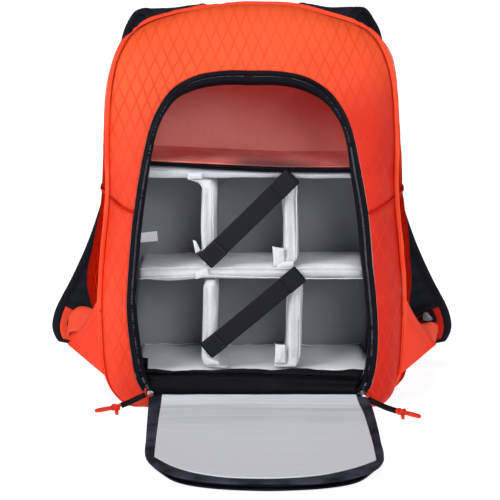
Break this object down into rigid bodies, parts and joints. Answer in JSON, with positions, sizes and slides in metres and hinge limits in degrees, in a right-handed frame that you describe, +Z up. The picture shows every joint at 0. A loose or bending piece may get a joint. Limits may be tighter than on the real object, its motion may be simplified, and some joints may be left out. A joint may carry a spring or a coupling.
{
  "type": "camera backpack",
  "caption": "Upright camera backpack with its front flap unzipped onto the floor, showing a padded insert with movable dividers and an upper compartment",
  "frame": {"origin": "on the floor, in the middle of the bag's base from left to right, a little in front of the middle of its depth", "axes": "+X to the right of a viewer who looks into the open front, +Y from the open front towards the back panel, +Z up"},
  "size_m": [0.4602, 0.5771, 0.4296],
  "materials": {
    "orange_cloth": "coated ripstop cloth, satin",
    "orange_lining": "woven lining, matt",
    "black_cloth": "woven cloth, matt",
    "black_mesh": "padded spacer mesh, matt",
    "black_tape": "coated zip tape and binding, satin",
    "grey_fleece": "brushed loop fleece over foam, matt",
    "grey_lining": "coated lining, satin",
    "white_label": "woven ribbon, blank",
    "orange_webbing": "woven webbing, matt",
    "grey_plastic": "moulded, satin",
    "black_rubber": "moulded tube, satin",
    "bright_metal": "plated, polished",
    "orange_cord": "braided cord, matt"
  },
  "bodies": {
    "root": {"front_panel_upper": "orange_cloth", "front_panel_lower": "orange_cloth", "side_upper": "orange_cloth", "side_lower_right": "orange_cloth", "side_lower_left": "orange_cloth", "base_panel": "orange_cloth", "back_pad": "black_mesh", "back_lining": "orange_lining", "zip_tape_body": "black_tape", "opening_facing": "black_cloth", "opening_sill": "black_cloth", "insert_cover": "black_cloth", "insert_floor_pad": "grey_fleece", "insert_top_pad": "grey_fleece", "insert_left_pad": "grey_fleece", "insert_right_pad": "grey_fleece", "insert_back_pad": "grey_fleece", "divider_shelf": "grey_fleece", "divider_upper_left": "grey_fleece", "divider_upper_right": "grey_fleece", "divider_lower_left": "grey_fleece", "divider_lower_right": "grey_fleece", "keeper_strap_upper": "black_cloth", "keeper_strap_lower": "black_cloth", "care_label": "white_label", "flap_shell": "orange_cloth", "flap_rim": "black_tape", "flap_lining": "grey_lining", "flap_zip_tape": "black_tape", "flap_hinge": "black_tape", "shoulder_strap_left": "black_mesh", "strap_patch_left": "orange_cloth", "ladder_lock_left": "grey_plastic", "strap_webbing_left": "orange_webbing", "side_wing_left": "orange_cloth", "zip_pull_cord_left": "orange_cord", "zip_pull_sleeve_left": "black_rubber", "zip_pull_knot_left": "orange_cord", "zip_slider_left": "bright_metal", "shoulder_strap_right": "black_mesh", "strap_patch_right": "orange_cloth", "ladder_lock_right": "grey_plastic", "strap_webbing_right": "orange_webbing", "side_wing_right": "orange_cloth", "zip_pull_cord_right": "orange_cord", "zip_pull_sleeve_right": "black_rubber", "zip_pull_knot_right": "orange_cord", "zip_slider_right": "bright_metal"}
  },
  "joints": []
}
